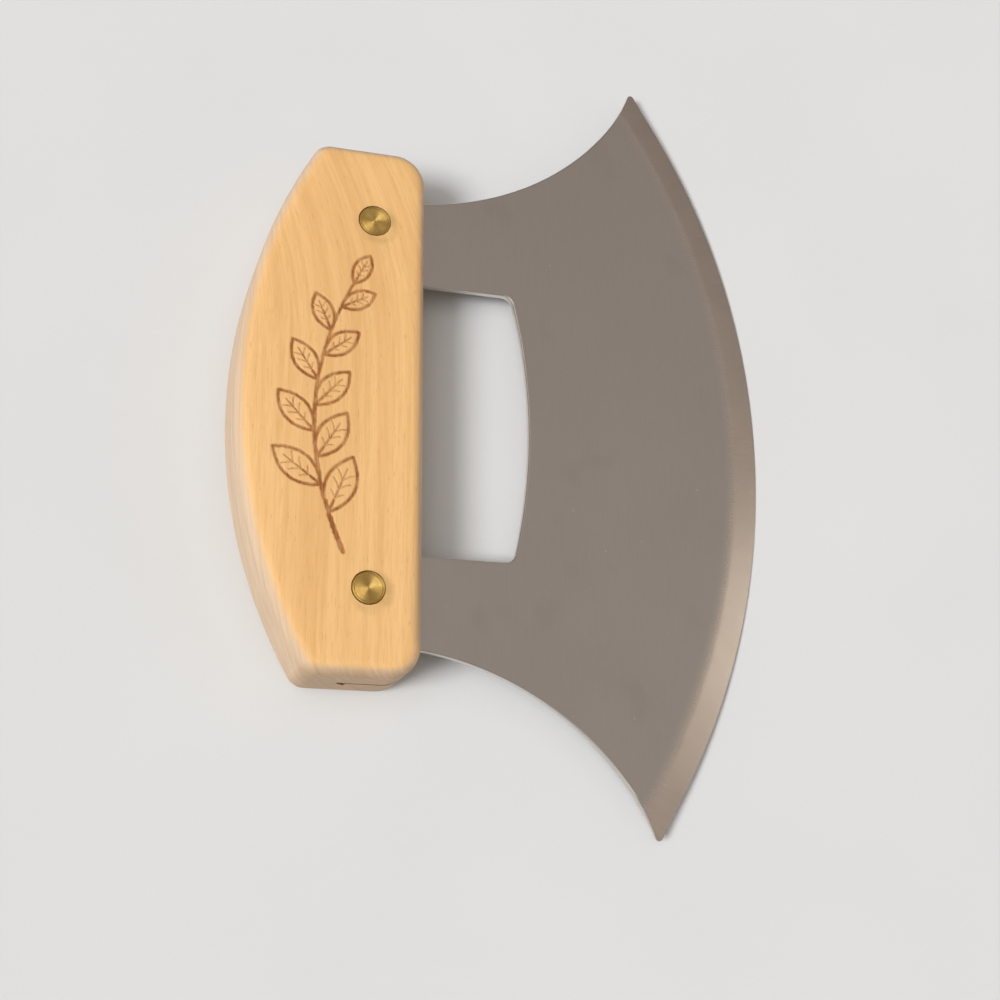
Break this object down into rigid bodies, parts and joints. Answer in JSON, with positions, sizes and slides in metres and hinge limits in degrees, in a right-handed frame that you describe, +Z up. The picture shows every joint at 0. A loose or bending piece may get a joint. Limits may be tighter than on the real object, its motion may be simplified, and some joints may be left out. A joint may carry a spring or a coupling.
{
  "type": "ulu knife",
  "caption": "Crescent-bladed chopping knife with a rocking edge, an arched wooden handle across the top and a finger opening between blade and handle.",
  "frame": {"origin": "on the table, under the middle of the knife's box", "axes": "+X from the handle to the cutting edge, +Y from tip to tip, +Z up from the table the knife lies on"},
  "size_m": [0.103, 0.1524, 0.0191],
  "materials": {
    "steel": "satin stainless sheet with a ground bevel",
    "birch": "sanded light hardwood with a thin matt oil",
    "brass": "turned rivet heads, slightly tarnished"
  },
  "bodies": {
    "root": {"blade": "steel", "handle": "birch", "left_rivet_stud": "brass", "left_rivet_socket": "brass", "right_rivet_stud": "brass", "right_rivet_socket": "brass"}
  },
  "joints": []
}
